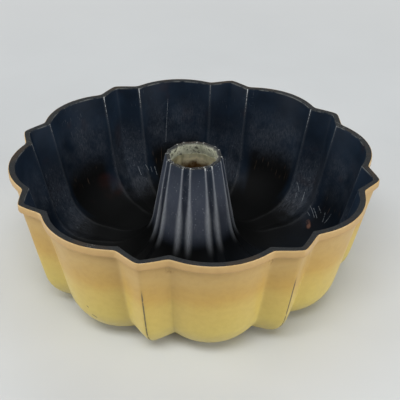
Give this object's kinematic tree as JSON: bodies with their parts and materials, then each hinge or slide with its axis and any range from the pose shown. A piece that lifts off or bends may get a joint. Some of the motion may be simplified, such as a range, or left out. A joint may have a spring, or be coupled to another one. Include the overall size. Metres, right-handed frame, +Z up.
{
  "type": "fluted tube cake pan",
  "caption": "Cast ring mould for cakes: round lobes and V flutes in turn around a hollow centre tube, with a black nonstick lining and a gold enamel outside.",
  "frame": {"origin": "on the pan's axis, in the plane of the flats that it stands on", "axes": "+Z up along the tube and out of the open top; V flutes point along +X, +Y, -X and -Y"},
  "size_m": [0.254, 0.254, 0.089],
  "materials": {
    "cast_aluminium": "as cast, dull grey, aged",
    "nonstick_black": "satin black nonstick coat, worn on the creases",
    "gold_enamel": "satin harvest-gold enamel, chipped on the flute edges"
  },
  "bodies": {
    "root": {"cast_body": "cast_aluminium", "nonstick_lining": "nonstick_black", "exterior_enamel": "gold_enamel"}
  },
  "joints": []
}
